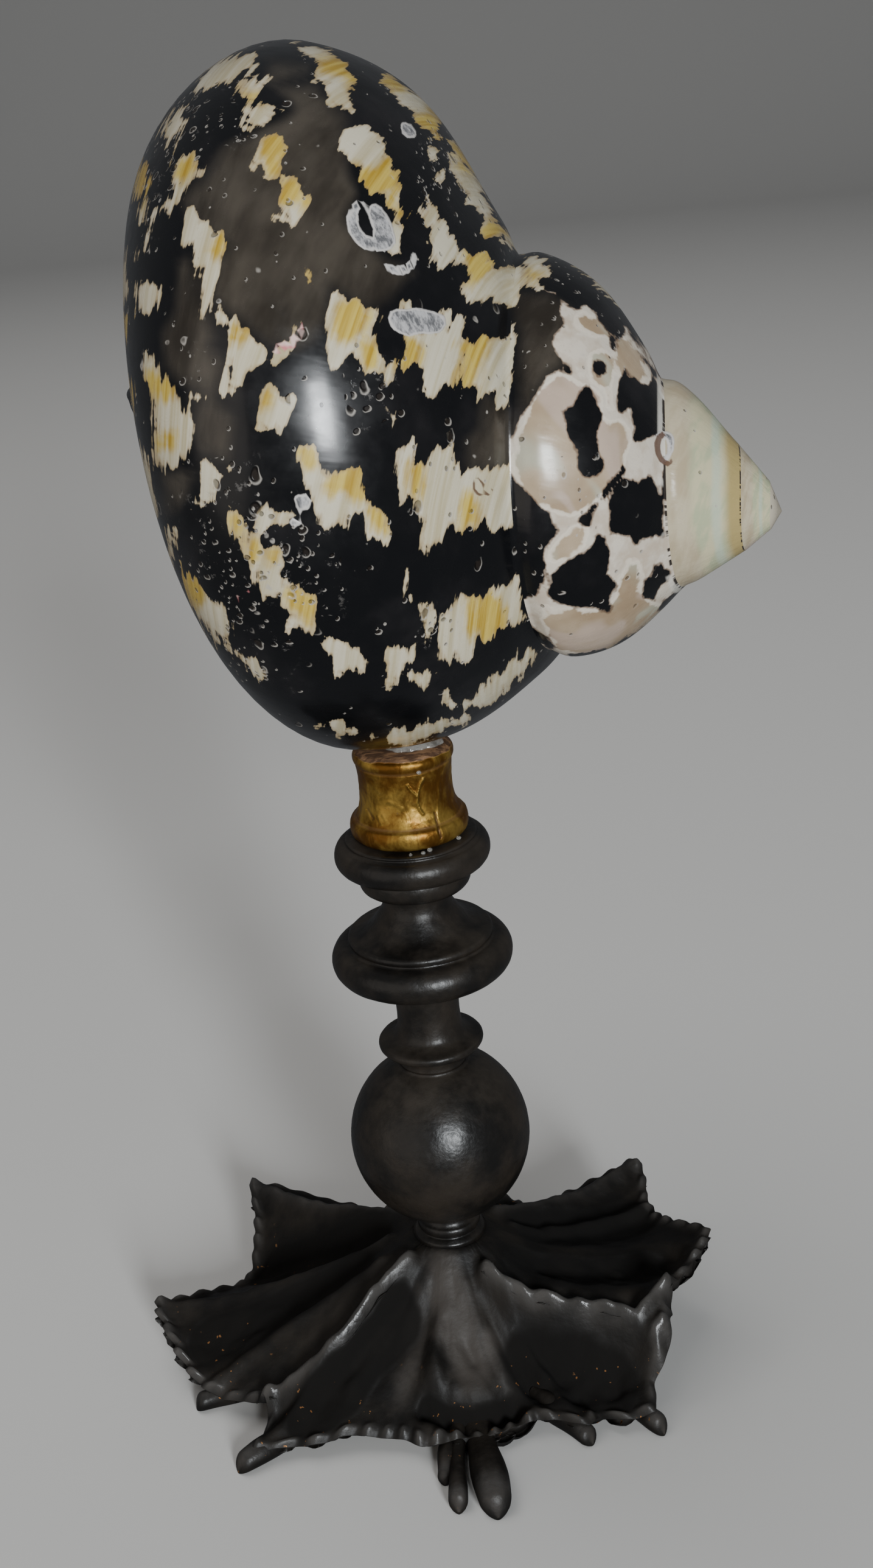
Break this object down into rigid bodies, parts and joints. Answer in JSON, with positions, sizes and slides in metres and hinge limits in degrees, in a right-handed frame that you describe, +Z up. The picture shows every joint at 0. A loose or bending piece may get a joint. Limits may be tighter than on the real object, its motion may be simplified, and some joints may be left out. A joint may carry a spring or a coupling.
{
  "type": "sea shell on stand",
  "caption": "Polished dark and cream top shell lying on its side, glued to a gilt collar on a turned black stem with a spreading leaf foot; a small display piece.",
  "frame": {"origin": "middle of the object's footprint in plan, on the surface that the foot stands on; the stem's axis is 0.8 mm to the left of it and 8.7 mm in front", "axes": "+Z up along the stem, -Y towards the viewer of the front, +X to the right, where the shell's spire points"},
  "size_m": [0.086, 0.0878, 0.1673],
  "materials": {
    "shell": "polished natural shell, blue-black with cream and ochre patches, nacre where it is ground through",
    "glue": "clear hardened glue",
    "gilt": "worn gilding on turned wood",
    "black_stem": "black satin lacquer on turned wood",
    "black_foot": "black satin paint on a casting, worn to copper at the edges"
  },
  "bodies": {
    "root": {"shell": "shell", "glue": "glue", "collar": "gilt", "stem": "black_stem", "foot": "black_foot"}
  },
  "joints": []
}
